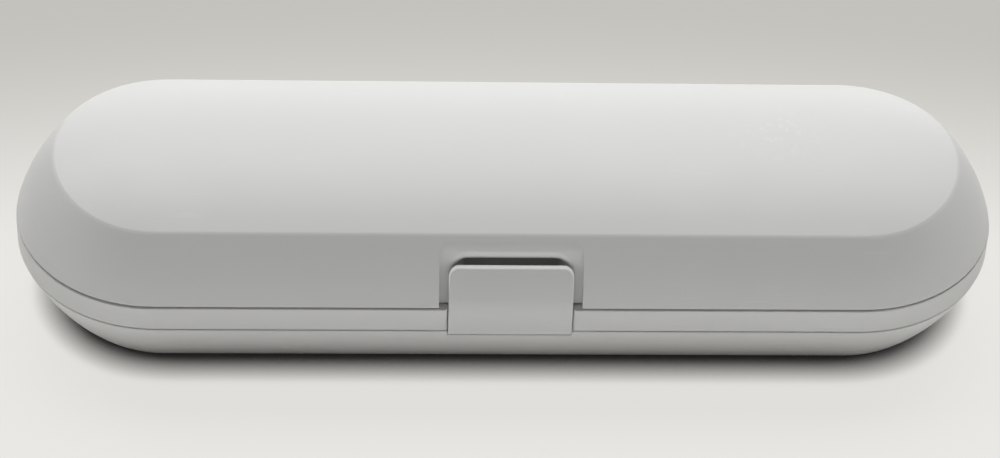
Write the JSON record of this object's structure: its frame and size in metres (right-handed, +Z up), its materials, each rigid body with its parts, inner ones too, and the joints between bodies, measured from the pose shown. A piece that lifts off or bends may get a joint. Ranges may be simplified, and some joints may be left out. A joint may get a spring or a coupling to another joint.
{
  "type": "toothbrush travel case",
  "caption": "Stadium-shaped hard travel case for an electric toothbrush, with a hinged domed lid, a front latch flap and a moulded tray with wells for the handle and brush heads.",
  "frame": {"origin": "centre of the flat bottom, on the surface the case lies on", "axes": "+X along the case, seen from the front to the right; the latch is at the front, towards -Y, and the hinge at the back, towards +Y; +Z up"},
  "size_m": [0.2258, 0.0726, 0.0445],
  "materials": {
    "base_plastic": "fine matte moulded plastic, light grey",
    "rim_plastic": "fine matte moulded plastic, light grey",
    "tray_plastic": "matte moulded plastic, light grey",
    "lid_plastic": "fine matte moulded plastic, light grey, faintly scuffed",
    "liner_plastic": "matte moulded plastic, light grey",
    "latch_plastic": "fine matte moulded plastic, light grey",
    "pin_steel": "plain drawn steel pin"
  },
  "bodies": {
    "base": {"base_shell": "base_plastic", "rim_frame": "rim_plastic", "inner_tray": "tray_plastic", "hinge_pin_left": "pin_steel", "hinge_pin_right": "pin_steel"},
    "lid": {"lid_shell": "lid_plastic", "lid_liner": "liner_plastic"},
    "latch": {"latch_flap": "latch_plastic"}
  },
  "joints": [
    {"name": "lid_hinge", "type": "hinge", "parent": "base", "child": "lid", "pos_m": [0, 0.0353, 0.0248], "axis": [-1, 0, 0], "range_deg": [0, 115]},
    {"name": "latch_hinge", "type": "hinge", "parent": "base", "child": "latch", "pos_m": [0, -0.0325, 0.0186], "axis": [1, 0, 0], "range_deg": [0, 75]}
  ]
}
